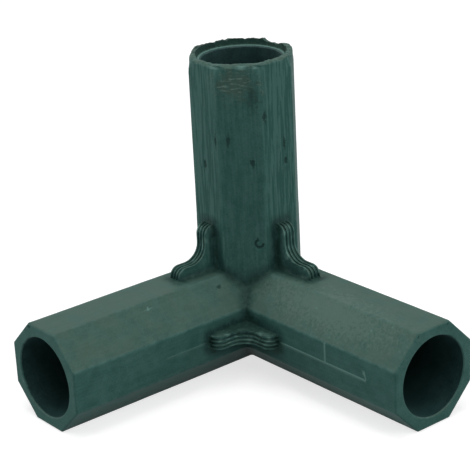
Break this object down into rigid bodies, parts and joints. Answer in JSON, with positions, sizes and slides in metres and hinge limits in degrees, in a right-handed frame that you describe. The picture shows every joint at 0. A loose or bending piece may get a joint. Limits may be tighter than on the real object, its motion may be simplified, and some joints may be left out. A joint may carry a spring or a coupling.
{
  "type": "three-way corner connector",
  "caption": "Corner connector moulded in one piece: octagonal arms at right angles, a round socket in each and ribbed gussets between them, to join the stakes of a frame.",
  "frame": {"origin": "on the flat underside, straight below the point where the axes of the three sockets meet", "axes": "+X and +Y along the two level sockets and out of their mouths, +Z along the upright socket and out of its mouth"},
  "size_m": [0.0641, 0.0641, 0.0655],
  "materials": {
    "moulding": "dark green moulded plastic, satin, with a fine uneven grain"
  },
  "bodies": {
    "root": {"corner_connector": "moulding"}
  },
  "joints": []
}
